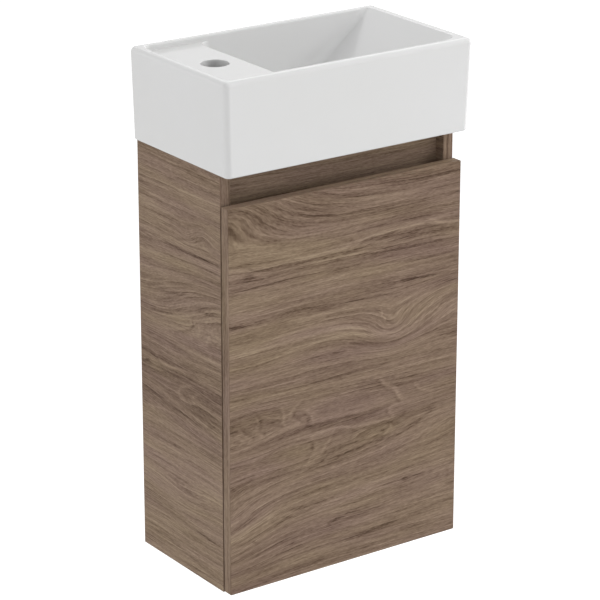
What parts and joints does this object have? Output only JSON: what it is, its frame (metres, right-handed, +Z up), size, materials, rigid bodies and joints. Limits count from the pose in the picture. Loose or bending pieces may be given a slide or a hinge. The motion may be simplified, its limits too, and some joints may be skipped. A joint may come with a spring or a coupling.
{
  "type": "vanity unit with basin",
  "caption": "Wall-hung bathroom vanity: narrow cabinet in cross-grain walnut laminate with a handle-free hinged door, carrying a white ceramic basin with a tap ledge.",
  "frame": {"origin": "on the wall plane, at the middle of the cabinet's width, level with the cabinet's underside", "axes": "+X to the right seen from the front, +Y into the wall, +Z up"},
  "size_m": [0.3696, 0.2099, 0.667],
  "materials": {
    "walnut_laminate": "satin laminate, grain across",
    "plated_steel": "nickel plated",
    "screw_steel": "zinc plated",
    "die_cast_zinc": "raw casting",
    "white_plastic": "satin moulded",
    "seal_rubber": "matt",
    "grey_plastic": "satin moulded",
    "beech_dowel": "raw",
    "glazed_ceramic": "gloss glaze",
    "polished_chrome": "polished",
    "clear_bumper": "clear soft"
  },
  "bodies": {
    "cabinet": {"left_side_panel": "walnut_laminate", "right_side_panel": "walnut_laminate", "bottom_panel": "walnut_laminate", "handle_rail": "walnut_laminate", "rear_top_rail": "walnut_laminate", "rear_bottom_rail": "walnut_laminate", "shelf": "walnut_laminate", "upper_hinge_plate": "plated_steel", "lower_hinge_plate": "plated_steel", "upper_hinge_arm": "plated_steel", "lower_hinge_arm": "plated_steel", "left_hanger_hook": "plated_steel", "right_hanger_hook": "plated_steel", "left_wall_plate": "plated_steel", "right_wall_plate": "plated_steel", "hinge_plate_screws": "screw_steel", "hinge_arm_screws": "screw_steel", "hanger_adjusters": "screw_steel", "hanger_screws": "screw_steel", "cam_bolts": "screw_steel", "cam_locks": "die_cast_zinc", "trap_inlet_nut": "white_plastic", "trap_inlet_pipe": "white_plastic", "trap_gland_nut": "white_plastic", "trap_body": "white_plastic", "trap_cup": "white_plastic", "trap_outlet_nut": "white_plastic", "trap_outlet_pipe": "white_plastic", "waste_back_nut": "white_plastic", "waste_upper_seal": "seal_rubber", "waste_gasket": "seal_rubber", "trap_inlet_washer": "seal_rubber", "trap_gland_seal": "seal_rubber", "trap_cup_seal": "seal_rubber", "trap_outlet_seal": "seal_rubber", "left_hanger_housing": "grey_plastic", "right_hanger_housing": "grey_plastic", "waste_cartridge": "grey_plastic", "shelf_pins": "grey_plastic", "carcass_dowels": "beech_dowel", "basin": "glazed_ceramic", "waste_body": "polished_chrome"},
    "door": {"door_panel": "walnut_laminate", "upper_hinge_cup": "plated_steel", "lower_hinge_cup": "plated_steel", "hinge_cup_screws": "screw_steel", "hinge_pivot_pins": "plated_steel", "door_bumpers": "clear_bumper"},
    "plug": {"waste_plug": "polished_chrome"}
  },
  "joints": [
    {"name": "door_swing", "type": "hinge", "parent": "cabinet", "child": "door", "pos_m": [0.17, -0.1942, 0.255], "axis": [0, 0, 1], "range_deg": [0, 100]},
    {"name": "plug_travel", "type": "slide", "parent": "cabinet", "child": "plug", "axis": [0, 0, 1], "range_m": [-0.008, 0]}
  ]
}
